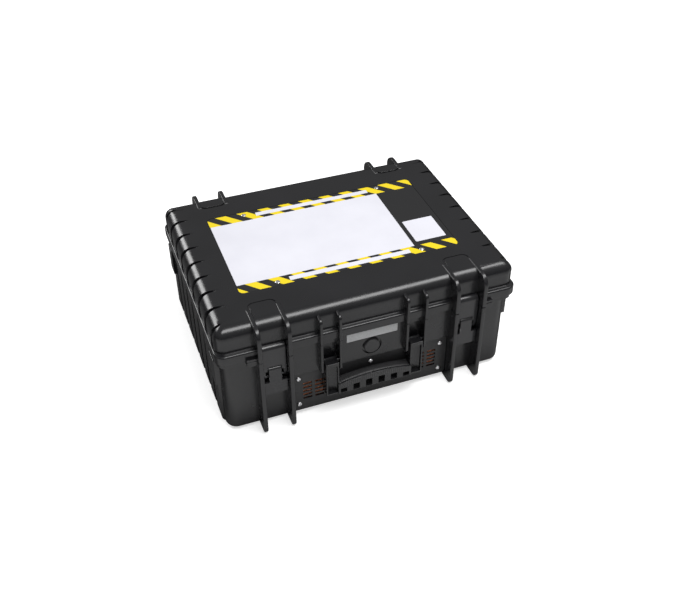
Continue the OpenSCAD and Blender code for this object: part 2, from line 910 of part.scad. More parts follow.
// Frames inside the case that press the arrestor packs into their windows
module arrestor_frames() {
    depth = frame_y + in_y + frame_t;
    color([0.6, 0.6, 0.62]) for (s = [-1, 1])
        translate([s * vent_x, -in_y + depth / 2, vent_z]) difference() {
            along_y(depth) difference() {
                round_rect(2 * (window_half_w + 1.4), 2 * (window_half_h + frame_edge), 1.2);
                square([2 * window_half_w - 6, 2 * window_half_h - 6], center = true);
                frame_holes(1.2);
            }
            translate([0, -frame_t / 2 - 0.5, 0])
                cube([2 * window_half_w, depth - frame_t + 1, 2 * window_half_h], center = true);
        }
}

module arrestor_screws() {
    head_y = frame_y + frame_t;
    color([0.75, 0.75, 0.76])
        for (s = [-1, 1], fx = [-1, 1], fz = [-1, 1])
            translate([s * vent_x + fx * frame_hole_x, 0, vent_z + fz * frame_hole_z]) {
                rod_y(0.95, -in_y - 2.4, head_y + 0.5);
                rod_y(2, head_y, head_y + 1.4);
            }
}

// ---------------------------------------------------------------- valve and badge

valve_face = base_rim_y - dimple_d;

module valve_body() {
    color([0.06, 0.06, 0.065]) translate([0, 0, valve_z]) difference() {
        union() {
            rod_y(valve_flange_r, -valve_face - 1.5, -valve_face - 0.8);
            rod_y(valve_shank_r, -valve_face - 1, -in_y + valve_nut_t + 1);
        }
        rod_y(valve_shank_r - 2.5, -valve_face - 2, -in_y - 2);
        rod_y(4, -valve_face, -in_y + 20);
    }
}

module valve_seal() {
    color([0.1, 0.1, 0.1]) translate([0, 0, valve_z]) difference() {
        rod_y(valve_shank_r + 3, -valve_face - 0.78, -valve_face);
        rod_y(valve_shank_r + 0.1, -valve_face - 2, -valve_face + 2);
    }
}

module valve_membrane() {
    color([0.85, 0.85, 0.83]) translate([0, 0, valve_z])
        rod_y(valve_shank_r - 2.6, -in_y - 2.7, -in_y - 2.1);
}

module valve_nut() {
    color([0.08, 0.08, 0.085]) translate([0, -in_y, valve_z]) rotate([-90, 0, 0])
        hex_nut(valve_shank_r + 0.02, 2.6 * valve_shank_r, valve_nut_t);
}

// Round knob with a bevelled face, on a stem in the valve's body
module valve_knob() {
    back = -valve_face - 1.8;
    bevel = 1;
    color([0.065, 0.065, 0.07]) translate([0, 0, valve_z]) {
        rod_y(knob_r, back - knob_t + bevel, back);
        translate([0, back - knob_t + bevel + eps, 0]) rotate([90, 0, 0])
            cylinder(r1 = knob_r, r2 = knob_r - bevel, h = bevel);
        rod_y(valve_shank_r - 2.5 - pin_fit, back - 1, back + 4);
    }
}

module name_badge() {
    color([0.55, 0.57, 0.58])
        translate([0, -base_rim_y - badge_t / 2, badge_z]) along_y(badge_t)
            round_rect(badge_w, badge_h, 0.8);
}

// ---------------------------------------------------------------- lid panel

module panel_piece(x0, x1, y0, y1, z0, t, r) {
    translate([(x0 + x1) / 2, (y0 + y1) / 2, z0]) linear_extrude(t)
        round_rect(x1 - x0, y1 - y0, r);
}

label_z = top_z - label_recess;
print_z = label_z + label_t;
label_front = label_y - label_d / 2;
label_back = label_y + label_d / 2;

module label_sheet() {
    color([0.9, 0.8, 0.1]) difference() {
        translate([0, label_y, label_z]) linear_extrude(label_t)
            round_rect(label_w, label_d, label_r);
        screw_holes(screw_hole_r);
    }
}

module label_panel() {
    color([0.85, 0.85, 0.88])
        panel_piece(-label_w / 2 + 0.4, panel_right, label_front + front_band,
            label_back - rear_band, print_z, print_t, 0.5);
}

module label_strips() {
    color([0.9, 0.9, 0.91]) for (y = [label_front + front_band / 2, label_back - rear_band / 2])
        panel_piece(-strip_half, strip_half, y - strip_d / 2, y + strip_d / 2, print_z, print_t,
            0.5);
}

module label_sticker() {
    color([0.88, 0.88, 0.9])
        panel_piece(panel_right + 8, panel_right + 63, label_front + front_band + 10,
            label_front + front_band + 72, print_z, print_t, 1.5);
}

module lid_screws() {
    color([0.75, 0.75, 0.76]) for (x = [-lid_screw_x, lid_screw_x], y = lid_screw_ys)
        translate([x, y, 0]) {
            translate([0, 0, top_z - wall - liner_t - nut_t - 1])
                cylinder(r = screw_r, h = print_z - top_z + wall + liner_t + nut_t + 1.5);
            translate([0, 0, print_z]) cylinder(r1 = 4, r2 = 3, h = 1.2);
        }
}

module lid_nuts() {
    color([0.7, 0.7, 0.71]) for (x = [-lid_screw_x, lid_screw_x], y = lid_screw_ys)
        translate([x, y, top_z - wall - liner_t - nut_t])
            hex_nut(screw_r + 0.02, 3.6 * screw_r, nut_t);
}

// ---------------------------------------------------------------- lining

lid_in_x = lid_x - lid_side_r - 0.5;
lid_in_y = lid_y - lid_edge_r - 0.5;

module lid_liner() {
    color([0.62, 0.6, 0.55]) difference() {
        translate([0, 0, top_z - wall - liner_t]) linear_extrude(liner_t)
            round_rect(2 * lid_in_x, 2 * lid_in_y, 20);
        screw_holes_deep(screw_hole_r);
    }
}

module screw_holes_deep(r) {
    for (x = [-lid_screw_x, lid_screw_x], y = lid_screw_ys)
        translate([x, y, top_z - 30]) cylinder(r = r, h = 40);
}

module lid_foam() {
    low = base_h + 1;
    color([0.16, 0.16, 0.17]) difference() {
        translate([0, 0, low]) linear_extrude(top_z - wall - liner_t - soft_gap - low)
            round_rect(2 * (lid_in_x + 7), 2 * (in_y - 4), 18);
        for (x = [-lid_screw_x, lid_screw_x], y = lid_screw_ys)
            translate([x, y, top_z - wall - liner_t - nut_t - 3]) cylinder(r = 6, h = 10);
    }
}

// Area between two y values with round corners
module lining_area(hx, y0, y1, r) {
    translate([0, (y0 + y1) / 2]) round_rect(2 * hx, y1 - y0, r);
}

module base_liner() {
    color([0.62, 0.6, 0.55]) difference() {
        translate([0, 0, floor_z]) linear_extrude(liner_top - floor_z)
            lining_area(liner_x, -liner_front, liner_rear, liner_r);
        translate([0, 0, floor_z + liner_t]) linear_extrude(liner_top)
            lining_area(liner_x - liner_t, -liner_front + liner_t, liner_rear - liner_t,
                liner_r - liner_t);
        for (s = [-1, 1])
            translate([s * vent_x, -liner_front, vent_z])
                cube([2 * window_half_w - 6, 4 * liner_t, 2 * window_half_h - 6], center = true);
    }
}

foam_x = liner_x - liner_t - soft_gap;
foam_front = -liner_front + liner_t + soft_gap;
foam_rear = liner_rear - liner_t - soft_gap;
foam_low = floor_z + liner_t + soft_gap;
foam_mid = foam_low + foam_floor_t;
foam_r = liner_r - liner_t;

module foam_floor() {
    color([0.2, 0.2, 0.21]) translate([0, 0, foam_low]) linear_extrude(foam_floor_t)
        lining_area(foam_x, foam_front, foam_rear, foam_r);
}

module foam_surround() {
    color([0.17, 0.17, 0.18])
        translate([0, 0, foam_mid + soft_gap]) linear_extrude(liner_top - foam_mid - soft_gap)
            difference() {
                lining_area(foam_x, foam_front, foam_rear, foam_r);
                lining_area(foam_x - foam_wall_t, foam_front + foam_wall_t,
                    foam_rear - foam_wall_t, 6);
            }
}

// ---------------------------------------------------------------- parts

base_shell();
lid_shell();
lid_seal();
hinge_pins();
latch_lever_left();
latch_lever_right();
latch_hook_left();
latch_hook_right();
latch_pivot_pins();
hook_pin_left();
hook_pin_right();
handle_frame();
handle_grip();
handle_pins();
valve_body();
valve_seal();
valve_membrane();
valve_nut();
valve_knob();
name_badge();
vent_plate();
plate_gasket();
plate_screws();
plate_nuts();
arrestor_left();
arrestor_right();
arrestor_frames();
arrestor_screws();
label_sheet();
label_panel();
label_strips();
label_sticker();
lid_screws();
lid_nuts();
lid_liner();
base_liner();
foam_floor();
foam_surround();
lid_foam();
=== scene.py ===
import math

import bmesh
import bpy
from mathutils import Matrix, Vector


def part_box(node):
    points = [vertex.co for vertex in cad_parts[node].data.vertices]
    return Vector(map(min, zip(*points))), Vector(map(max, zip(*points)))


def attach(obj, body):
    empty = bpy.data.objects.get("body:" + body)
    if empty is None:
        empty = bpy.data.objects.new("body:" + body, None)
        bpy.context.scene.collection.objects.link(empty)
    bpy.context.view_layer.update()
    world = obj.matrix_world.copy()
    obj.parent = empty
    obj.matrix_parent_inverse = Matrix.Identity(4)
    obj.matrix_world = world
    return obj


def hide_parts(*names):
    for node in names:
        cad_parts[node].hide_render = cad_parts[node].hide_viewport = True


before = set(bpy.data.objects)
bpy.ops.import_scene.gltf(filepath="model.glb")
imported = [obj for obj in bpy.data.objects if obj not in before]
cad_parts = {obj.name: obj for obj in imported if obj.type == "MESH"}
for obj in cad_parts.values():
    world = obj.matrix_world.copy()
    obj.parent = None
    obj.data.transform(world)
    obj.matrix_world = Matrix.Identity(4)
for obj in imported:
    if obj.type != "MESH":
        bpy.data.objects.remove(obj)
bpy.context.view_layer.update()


# ---------------------------------------------------------------- lid
# The lid is one injection moulding in black polypropylene, with thin walls, ribbed sides and a
# broad rim that closes on the base. Its fins guard the latches and hinges, and the knuckles that
# it hangs on are part of the moulding.

def box_mm(node):
    """The low and high corner of a node's box, in millimetres."""
    return [v * 1000 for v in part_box(node)]


def curve(x, z, r, angle, turn=1):
    """A point on a round edge whose outer corner is (x, z): over a wall, or with turn -1 under
    it."""
    a = math.radians(angle)
    return x - r + r * math.cos(a), z - turn * r * (1 - math.sin(a))


def side_marks(pitch, count):
    """Places along a side wall: (groove's centre, share of its half width, offset), weights.
    A groove's edge is a slope between two marks, soft mm to each side."""
    soft = 0.6
    rib, groove = (1, 0, 0), (0, 1, 0)
    marks = []
    for k in range(count):
        c = k * pitch
        marks += [((c, 1, -soft), groove), ((c, 1, soft), rib)]
        marks += [((c + pitch * s, 0, 0), rib) for s in (0.3, 0.5, 0.7)]
        marks += [((c + pitch, -1, -soft), rib), ((c + pitch, -1, soft), groove)]
    return marks


def perimeter(side, arc, front):
    """Marks round a rounded rectangle: (sign x, sign y, kind, place, weights)."""
    end = (0, 0, 1)
    quarter = [("side", y, w) for y, w in side] + [("arc", t, end) for t in arc]
    quarter += [("front", v, end) for v in front]
    marks = []
    for sx, sy in ((1, 1), (-1, 1), (-1, -1), (1, -1)):
        run = quarter if sx == sy else quarter[::-1]
        marks += [(sx, sy, *m) for m in run]
    return marks


def ring_points(marks, rib, groove, end, front, centre, half=3.5):
    """One ring of the loft: side profiles (x, z), front profile (y, z), corner centre and
    half the groove's width. Marks past the last rib draw together where the corner starts."""
    free = 150
    last = max(p[0] + p[1] * half + p[2] for _, _, kind, p, _ in marks if kind == "side")
    squeeze = min(1, (centre[1] - free - 0.5) / (last - free))
    points = []
    for sx, sy, kind, p, (a, b, c) in marks:
        x = a * rib[0] + b * groove[0] + c * end[0]
        z = a * rib[1] + b * groove[1] + c * end[1]
        if kind == "side":
            y = p[0] + p[1] * half + p[2]
            point = (x, free + (y - free) * squeeze if y > free else y, z)
        elif kind == "front":
            point = (p * centre[0], front[0], front[1])
        else:
            t = math.radians(p)
            share = math.sin(t) ** 2
            point = (centre[0] + (x - centre[0]) * math.cos(t),
                     centre[1] + (front[0] - centre[1]) * math.sin(t),
                     z + (front[1] - z) * share)
        points.append((sx * point[0] / 1000, sy * point[1] / 1000, point[2] / 1000))
    return points


def even_ring(marks, side, front, centre):
    """A ring without ribs."""
    return ring_points(marks, side, side, side, front, centre)


def clean(mesh):
    """The mesh with its doubles merged and its faces pointing outwards."""
    bm = bmesh.new()
    bm.from_mesh(mesh)
    bmesh.ops.remove_doubles(bm, verts=bm.verts, dist=1e-6)
    bmesh.ops.recalc_face_normals(bm, faces=bm.faces)
    bm.to_mesh(mesh)
    bm.free()
    return mesh


def loft(name, rings, wrap=False):
    """A closed mesh through rings of equal length. Each end gets a face, or with wrap the last
    ring joins the first."""
    n, last = len(rings[0]), len(rings) - 1
    faces = [] if wrap else [tuple(range(n)), tuple(range(n * last, n * (last + 1)))[::-1]]
    for k in range(last + 1 if wrap else last):
        m = (k + 1) % len(rings)
        for i in range(n):
            j = (i + 1) % n
            faces.append((k * n + j, k * n + i, m * n + i, m * n + j))
    mesh = bpy.data.meshes.new(name)
    mesh.from_pydata([p for ring in rings for p in ring], [], faces)
    return clean(mesh)


def prism(outline, axis, low, high, bevel=0.0, segments=3):
    """A slab of an outline in millimetres along an axis, with its sharp edges bevelled."""
    sharp = 0.6  # radians between two faces
    bm = bmesh.new()
    ends = []
    for w in (low, high):
        place = {"x": lambda u, v: (w, u, v), "y": lambda u, v: (u, w, v),
                 "z": lambda u, v: (u, v, w)}[axis]
        ends.append([bm.verts.new([c / 1000 for c in place(u, v)]) for u, v in outline])
    n = len(outline)
    bm.faces.new(ends[0])
    bm.faces.new(ends[1][::-1])
    for i in range(n):
        j = (i + 1) % n
        bm.faces.new((ends[0][j], ends[0][i], ends[1][i], ends[1][j]))
    bmesh.ops.recalc_face_normals(bm, faces=bm.faces)
    if bevel:
        edges = [e for e in bm.edges if e.calc_face_angle(0) > sharp]
        bmesh.ops.bevel(bm, geom=edges, offset=bevel / 1000, segments=segments, profile=0.5,
                        affect="EDGES", clamp_overlap=True)
    mesh = bpy.data.meshes.new("prism")
    bm.to_mesh(mesh)
    bm.free()
    return mesh


def arc(cx, cy, r, start, end, steps=6):
    """Points on a circle from one angle to another, in degrees."""
    angles = [math.radians(start + (end - start) * k / steps) for k in range(steps + 1)]
    return [(cx + r * math.cos(a), cy + r * math.sin(a)) for a in angles]


def rectangle(x0, x1, y0, y1, r=0.0):
    """A rectangle's outline, with round corners if r is given."""
    if not r:
        return [(x0, y0), (x1, y0), (x1, y1), (x0, y1)]
    return (arc(x0 + r, y0 + r, r, 180, 270) + arc(x1 - r, y0 + r, r, 270, 360)
            + arc(x1 - r, y1 - r, r, 0, 90) + arc(x0 + r, y1 - r, r, 90, 180))


def rod(axis, u, v, r, low, high, sides=24):
    """A cylinder along an axis, to cut a bore with."""
    return prism(arc(u, v, r, 0, 360 - 360 / sides, sides - 1), axis, low, high)


def slabs(outline, places, half, bevel):
    """A fin of this outline in (y, z) at each place along x, half its thickness to each side."""
    return [prism(outline, "x", x - half, x + half, bevel) for x in places]


def facing(outline):
    """An outline in (y, z) turned from the rear to the front."""
    return [(-y, z) for y, z in outline]


def joined(name, meshes, mirror=False):
    """One mesh of several, with mirror also their mirror images on the other side of x = 0."""
    bm = bmesh.new()
    for mesh in meshes:
        bm.from_mesh(mesh)
    if mirror:
        twin = bmesh.ops.duplicate(bm, geom=bm.verts[:] + bm.edges[:] + bm.faces[:])["geom"]
        verts = [g for g in twin if isinstance(g, bmesh.types.BMVert)]
        faces = [g for g in twin if isinstance(g, bmesh.types.BMFace)]
        bmesh.ops.scale(bm, vec=(-1, 1, 1), verts=verts)
        bmesh.ops.reverse_faces(bm, faces=faces)
    mesh = bpy.data.meshes.new(name)
    bm.to_mesh(mesh)
    bm.free()
    return mesh


def cut(mesh, cutter, operation="DIFFERENCE"):
    """The mesh less the cutter, or with operation UNION both in one."""
    objects = []
    for m in (mesh, cutter):
        objects.append(bpy.data.objects.new("work", m))
        bpy.context.collection.objects.link(objects[-1])
    boolean = objects[0].modifiers.new("cut", "BOOLEAN")
    boolean.object = objects[1]
    boolean.operation = operation
    boolean.solver = "EXACT"
    boolean.use_self = True
    depsgraph = bpy.context.evaluated_depsgraph_get()
    result = bpy.data.meshes.new_from_object(objects[0].evaluated_get(depsgraph))
    for o in objects:
        bpy.data.objects.remove(o)
    return result


def piece(name, mesh, material, body, nodes, angle=32):
    """Places a finished mesh as a piece on its body, standing for the named nodes. Edges
    sharper than the angle in degrees stay sharp."""
    mesh.validate()
    for polygon in mesh.polygons:
        polygon.use_smooth = True
    mesh.set_sharp_from_angle(angle=math.radians(angle))
    mesh.materials.clear()
    mesh.materials.append(material)
    obj = bpy.data.objects.new(name, mesh)
    bpy.context.collection.objects.link(obj)
    weighted = obj.modifiers.new("normals", "WEIGHTED_NORMAL")
    weighted.keep_sharp = True
    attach(obj, body)
    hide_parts(*nodes)
    return obj


class Value:
    """A shader value whose arithmetic adds Math nodes."""

    def __init__(self, shader, socket):
        self.shader, self.socket = shader, socket

    def math(self, operation, *terms):
        inputs = dict(enumerate(terms))
        return self.shader.node("ShaderNodeMath", {"operation": operation}, inputs)

    def __add__(self, other):
        return self.math("ADD", self, other)

    def __mul__(self, other):
        return self.math("MULTIPLY", self, other)

    def __truediv__(self, other):
        return self.math("DIVIDE", self, other)

    def __rtruediv__(self, other):
        return self.math("DIVIDE", other, self)

    def __lt__(self, other):
        return self.math("LESS_THAN", self, other)

    def __gt__(self, other):
        return self.math("GREATER_THAN", self, other)

    __radd__ = __add__
    __rmul__ = __mul__

    def fraction(self):
        """What is left of the value past the last whole number."""
        return self.math("FRACT", self)


class Shader:
    """A node material on the Principled shader, read in object coordinates."""

    def __init__(self, name, roughness, **constants):
        self.begin(bpy.data.materials.new(name), "Principled BSDF")
        self.material = self.holder
        self.set("Roughness", roughness)
        for key, value in constants.items():
            self.set(key.replace("_", " "), value)

    def begin(self, holder, surface):
        """Starts on a material's or world's tree, at the node that is its surface."""
        self.holder = holder
        self.holder.use_nodes = True
        self.tree = self.holder.node_tree
        self.surface = self.tree.nodes[surface]

    def put(self, socket, value):
        """Links a value to the socket, or sets a number, colour or vector on it."""
        if isinstance(value, Value):
            self.tree.links.new(value.socket, socket)
        elif isinstance(value, tuple) and len(value) == 3 and socket.type == "RGBA":
            socket.default_value = (*value, 1)
        else:
            socket.default_value = value

    def set(self, key, value):
        self.put(self.surface.inputs[key], value)

    def node(self, kind, settings=None, inputs=None, output=0):
        n = self.tree.nodes.new(kind)
        for key, value in (settings or {}).items():
            setattr(n, key, value)
        for key, value in (inputs or {}).items():
            self.put(n.inputs[key], value)
        return Value(self, n.outputs[output])

    def place(self):
        """The point on the piece, in metres of its own frame."""
        return self.node("ShaderNodeTexCoord", output="Object")

    def part(self, vector, axis):
        """One of a vector's three parts."""
        return self.node("ShaderNodeSeparateXYZ", {}, {0: vector}, "XYZ".index(axis))

    def scaled(self, scale):
        """The place, drawn together along each axis by its scale."""
        return self.node("ShaderNodeMapping", {}, {"Vector": self.place(), "Scale": scale})

    def noise(self, scale, detail=3.0, vector=None):
        inputs = {"Vector": vector or self.place(), "Scale": scale, "Detail": detail}
        return self.node("ShaderNodeTexNoise", {}, inputs)

    def ramp(self, value, low, high, out_low, out_high):
        return self.node("ShaderNodeMapRange", {}, {
            "Value": value, "From Min": low, "From Max": high, "To Min": out_low,
            "To Max": out_high})

    def spread(self, noise, out_low, out_high):
        """A noise, which keeps to the middle of its range, spread over another range."""
        return self.ramp(noise, 0.3, 0.7, out_low, out_high)

    def mix(self, factor, a, b):
        return self.node("ShaderNodeMix", {"data_type": "RGBA"}, {0: factor, 6: a, 7: b}, 2)

    def mottle(self, noise, dark, light):
        """Sets a base colour that wanders between two with a noise."""
        self.set("Base Color", self.mix(self.spread(noise, 0.0, 1.0), dark, light))

    def bump(self, height, distance):
        """Raises the surface by a height times a distance in metres."""
        self.set("Normal", self.node("ShaderNodeBump", {}, {
            "Height": height, "Distance": distance, "Strength": 1.0}))


def moulded(name, dark, light, roughness, grain=0.000008):
    """Black moulded plastic or rubber: fine eroded grain and faint flow marks."""
    m = Shader(name, roughness)
    m.mottle(m.noise(9.0, 4.0), dark, light)
    m.set("Roughness", m.spread(m.noise(40.0, 5.0), roughness - 0.03, roughness + 0.03))
    m.bump(m.noise(2600.0, 2.0), grain)
    return m.material


black = moulded("moulding_black", (0.0075, 0.0075, 0.0085), (0.0105, 0.0105, 0.012), 0.25)

fin_over = 1.5  # the fins stand this far above the top
half_w, top_z = box_mm("lid_shell")[1].x, box_mm("lid_shell")[1].z - fin_over
half_d = 195.0  # half the depth over the rim
rib_x, groove_x, wall_y = half_w - 3, half_w - 13, half_d - 8
seal_deep = 4
part_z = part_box("lid_seal")[1].z * 1000 - seal_deep  # where lid and base meet
rib_pitch, rib_count = 41.5, 4
corner_steps, front_steps = range(0, 91, 10), (0.99, 0.8, 0.6, 0.4, 0.2)

# the last groove runs out into the corner
last_groove = [((4 * rib_pitch, 0.45, -0.6), (0, 1, 0)), ((4 * rib_pitch, 0.45, 0.6), (0, 0, 1))]
marks = perimeter(side_marks(rib_pitch, rib_count) + last_groove, corner_steps, front_steps)
rings = []
for k in range(11):  # over the round edge, with grooves that widen on the way down
    b = 90 - 9 * k
    rib = curve(rib_x, top_z, 20, b)
    front = curve(wall_y, top_z, 20, b)
    r = 16 - 11 * math.sin(math.radians(b))
    rings.append(ring_points(marks, rib, curve(groove_x, top_z, 24, b), rib, front,
                             (rib[0] - r, front[0] - r), 1.7 + 4.2 * k / 10))
rim_z = part_z + 16
for out, up in ((0, 2.2), (0.6, 0.7)):  # the wall's foot runs out onto the rim
    rib = (rib_x + out / 2, rim_z + up)
    rings.append(ring_points(marks, rib, (groove_x + out, rim_z + up), rib,
                             (wall_y + out, rim_z + up), (236, 171), 8.5))
rib = (half_w - 2.4, rim_z)
rings.append(ring_points(marks, rib, (half_w - 10.5, rim_z), rib, (half_d - 5.6, rim_z),
                         (237, 173), 8.8))
rim_centre = (239, 179)
for b in (80, 55, 30, 0):
    rings.append(even_ring(marks, curve(half_w, rim_z, 2.2, b), curve(half_d, rim_z, 3.5, b),
                           rim_centre))
for inset, up in ((0, 0.9), (0.3, 0.25), (0.9, 0)):
    rings.append(even_ring(marks, (half_w - inset, part_z + up), (half_d - inset, part_z + up),
                           rim_centre))
# the seal's groove, then the inner wall
inner_centre = (215, 158)
for x, y, up in ((243.8, 186.8, 0), (243.8, 186.8, seal_deep), (238.8, 181.8, seal_deep),
                 (238.8, 181.8, 0), (237, 180, 0), (237, 180, 8), (238, 183, 8.2), (238, 183, 40)):
    rings.append(even_ring(marks, (x, part_z + up), (y, part_z + up), inner_centre))
ceiling_z = top_z - 4
for b in (0, 30, 60, 90):
    side, front = curve(236, ceiling_z, 20, b), curve(183, ceiling_z, 18, b)
    rings.append(even_ring(marks, side, front, (side[0] - 8, front[0] - 8)))
body = loft("lid", rings)

front_fins_x, rear_fins_x, handle_fins_x = (141, 189), (144, 192), (57.25, 88.75)
fin_half, handle_fin_half = 3.5, 2.25
fin_y = 209  # how far out the fins reach, front and rear
hinge_y, hinge_z, pin_bore = 199, 157, 2.56

# room for the hooks and for the base's ears, the panel's recess, and a groove round each pad
hook_room = [(-215, part_z - 1), (-192, part_z - 1), (-192, part_z + 5.5),
             (-187.05, part_z + 5.5), (-187.05, part_z + 18.4), (-215, part_z + 18.4)]
ear_room = arc(hinge_y, hinge_z, 10.6, 0, 348, 30)
cutters = [joined("rooms", [prism(hook_room, "x", 144.5, 185.5)]
                  + slabs(ear_room, rear_fins_x, 4, 0), True)]
recess = rectangle(-189.8, 189.8, -105.3, 114.7, 8.5)
cutters.append(prism(recess, "z", top_z - 1, top_z + 3))
for pad_groove in (rectangle(142, 188, -182, -132.6, 11), rectangle(145, 191, 148.6, 182, 11)):
    cutters.append(joined("groove", [prism(pad_groove, "z", top_z - 1.1, top_z + 3)], True))
body = cut(body, joined("cutters", cutters))


def lid_fin(start, z_low):
    """A guard fin's outline in (y, z): it rises from the top at start and ends at z_low."""
    top = top_z + fin_over
    return ([(start, top - 3.6), (start + 1.5, top - 1), (start + 5, top)]
            + arc(189, top - 20, 20, 90, 0, 10)
            + [(fin_y, z_low), (188, z_low), (188, part_z + 9), (185, part_z + 13),
               (182, top - 12), (170, top - 5)])


def pad(x0, x1, rear):
    """The raised pad between two fins, which runs over the lid's round edge."""
    pad_z = top_z + 0.9
    outline = rectangle(x0, x1, rear, 168, min(9, (168 - rear) / 2 - 0.5))
    flat = prism(outline, "z", top_z - 1.6, pad_z, 0.5)
    roll = ([(155, pad_z)] + arc(167, top_z - 20, 20.9, 90, 15, 10)
            + arc(167, top_z - 20, 18, 15, 90, 10) + [(155, top_z - 2)])
    return cut(flat, prism(roll, "x", x0, x1), "UNION")


fins = slabs(facing(lid_fin(145, part_z)), front_fins_x, fin_half, 1.7)
fins += slabs(lid_fin(151, part_z + 14), rear_fins_x, fin_half, 1.7)
handle_fin = facing([(184.5, part_z), (203, part_z)] + arc(195, 197.1, 8, 0, 90, 6)
                    + [(181, 205.1)])
fins += slabs(handle_fin, handle_fins_x, handle_fin_half, 1.1)
front_pad, rear_pad = pad(144.4, 185.6, 135), pad(147.4, 188.6, 151)
for vertex in front_pad.vertices:
    vertex.co.y *= -1
front_pad.flip_normals()
knuckle = arc(hinge_y, hinge_z, 8.5, -90, 90, 12) + [(186, 165.5), (186, 158), (192.4, 157)]
knuckle = cut(prism(knuckle, "x", 148, 188, 0.8), rod("x", hinge_y, hinge_z, pin_bore, 140, 196))
tab_outline = rectangle(189, 209, -200.5, -184)
tab = prism(tab_outline, "z", part_z, part_z + 3.5, 0.8)
details = joined("details", fins + [front_pad, rear_pad, knuckle, tab], True)
piece("lid_moulding", joined("lid_moulding", [body, details]), black, "lid", ["lid_shell"])

# ---------------------------------------------------------------- base
# The base is the deep half of the case, moulded in the same plastic: ribbed sides with a big
# radius at the ground, a rim with the seal's tongue, a belt across the front, four feet, and
# the fins that carry the latches, the handle and the hinge pins.

rim_top = part_z - 0.4
rim_x, rim_y = 252, 190
rib_x, groove_x, end_x, wall_y, under_z = 251, 241, 246.5, 184, 4
last_rib = [((161.9, 0, 0), (1, 0, 0)), ((163.1, 0, 0), (0, 0, 1))]
marks = perimeter(side_marks(rib_pitch, rib_count)[:-2] + last_rib, corner_steps, front_steps)
rings = []
# the floor and inner wall, then the tongue that the seal closes on
for x, y, z in ((233, 176, 8), (236, 179, 9), (237, 180, 12), (237, 180, rim_top),
                (240.3, 183.3, rim_top), (240.3, 183.3, rim_top + 1.6),
                (240.8, 183.8, rim_top + 2), (241.8, 184.8, rim_top + 2),
                (242.3, 185.3, rim_top + 1.6), (242.3, 185.3, rim_top)):
    rings.append(even_ring(marks, (x, z), (y, z), inner_centre))
for inset, z in ((0.9, rim_top), (0.2, rim_top - 0.3), (0, rim_top - 1), (0, rim_top - 9.8),
                 (0.3, rim_top - 10.4)):
    rings.append(even_ring(marks, (rim_x - inset, z), (rim_y - inset, z), (238, 176)))
outer_centre, half_groove = (227.5, 165), 5.5
for out, down in ((0.9, 10.6), (0.25, 11), (0, 12)):  # under the rim
    z = rim_top - down
    rings.append(ring_points(marks, (rib_x, z), (groove_x + out, z), (end_x + out, z),
                             (wall_y + out, z), outer_centre, half_groove))
for k in range(9):  # round the edge at the ground
    b = 11.25 * k
    side, groove, end, front = (curve(x, under_z, r, b, -1) for x, r in (
        (rib_x, 15), (groove_x, 15), (end_x, 9), (wall_y, 8)))
    rings.append(ring_points(marks, side, groove, end, front, outer_centre,
                             half_groove + 1.5 * k / 8))
body = loft("base", rings)

valve_z, valve_bore = 119, 10.2
window = prism(rectangle(80.75, 118.75, 31.8, 72.2), "y", -190, -176)
bore = rod("y", 0, valve_z, valve_bore, -195, -176, 45)
body = cut(body, joined("cutters", [joined("windows", [window], True), bore]))

front_fin = facing([(177, 0)] + arc(199.5, 9.5, 9.5, -90, 0, 8)
                   + [(fin_y, 70), (fin_y, rim_top), (182, rim_top), (182, 14), (176, 8)])
fins = slabs(front_fin, front_fins_x, fin_half, 1.7)
rear_fin = ([(176, 0)] + arc(194, 10, 10, -90, 0, 6) + [(fin_y, 70)]
            + arc(hinge_y, hinge_z, 10, -20, 200, 14)
            + [(182, rim_top - 3.4), (182, 14), (176, 8)])
for x, fin in zip(rear_fins_x, slabs(rear_fin, rear_fins_x, fin_half, 1.5)):
    fins.append(cut(fin, rod("x", hinge_y, hinge_z, 2.5, x - 9, x + 9)))
handle_fin = facing([(182, 95)] + arc(198, 100, 5, -90, 0, 4) + [(203, rim_top), (182, rim_top)])
fins += slabs(handle_fin, handle_fins_x, handle_fin_half, 1.1)
belt_z, belt_y = (95, 150), (-189.95, -182.5)
belt = prism(rectangle(88.75, 141, *belt_z), "y", *belt_y, 0.8)
feet = [prism(rectangle(204, 218, y - 40, y + 40, 6), "z", 0, 5, 0.6) for y in (-124, 124)]
blocks = [prism(rectangle(241, 255, y - 13.5, y + 13.5), "z", 95, 147, 1.0)
          for y in (-153.55, 153.55)]
tab = prism(tab_outline, "z", rim_top - 9.6, rim_top, 0.8)
dimple = joined("dimple", [rod("y", 0, valve_z, 17, -195, -187, 60),
                           rod("y", 0, valve_z, valve_bore, -188, -176, 45)])
middle = cut(prism(rectangle(-57.25, 57.25, *belt_z), "y", *belt_y, 0.8), dimple)
details = joined("details", fins + [belt] + feet + blocks + [tab], True)
piece("base_moulding", joined("base_moulding", [body, details, middle]), black, "base",
      ["base_shell"])

# ---------------------------------------------------------------- latches
# Each latch is a T-shaped lever of glass filled nylon on a steel pin, and a hook plate hung on
# its back that draws the lid's rim down. Both are moulded, a little glossier than the case.

